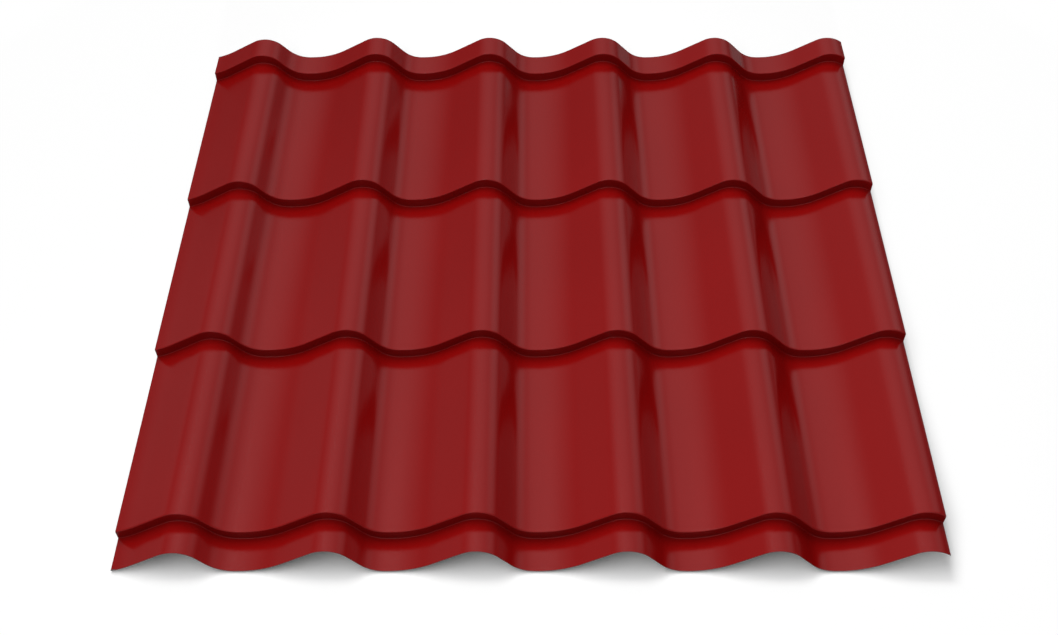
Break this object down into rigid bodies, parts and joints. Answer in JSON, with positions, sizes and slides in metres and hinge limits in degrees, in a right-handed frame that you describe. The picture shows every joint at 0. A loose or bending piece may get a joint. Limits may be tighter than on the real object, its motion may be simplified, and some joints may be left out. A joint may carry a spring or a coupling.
{
  "type": "tile effect metal roofing sheet",
  "caption": "Thin coated steel roofing sheet pressed into stepped waves that look like rows of roof tiles, with side and end laps for its neighbours.",
  "frame": {"origin": "bottom centre of the sheet's own box, on the level surface that the feet of its steps rest on", "axes": "+Y runs up the roof from the eaves edge to the ridge edge, +X across the waves towards the overlap edge, +Z away from the roof"},
  "size_m": [1.1406, 1.1564, 0.0645],
  "materials": {
    "coated_steel": "satin tile red polyester coating on galvanised steel"
  },
  "bodies": {
    "root": {"roofing_sheet": "coated_steel"}
  },
  "joints": []
}
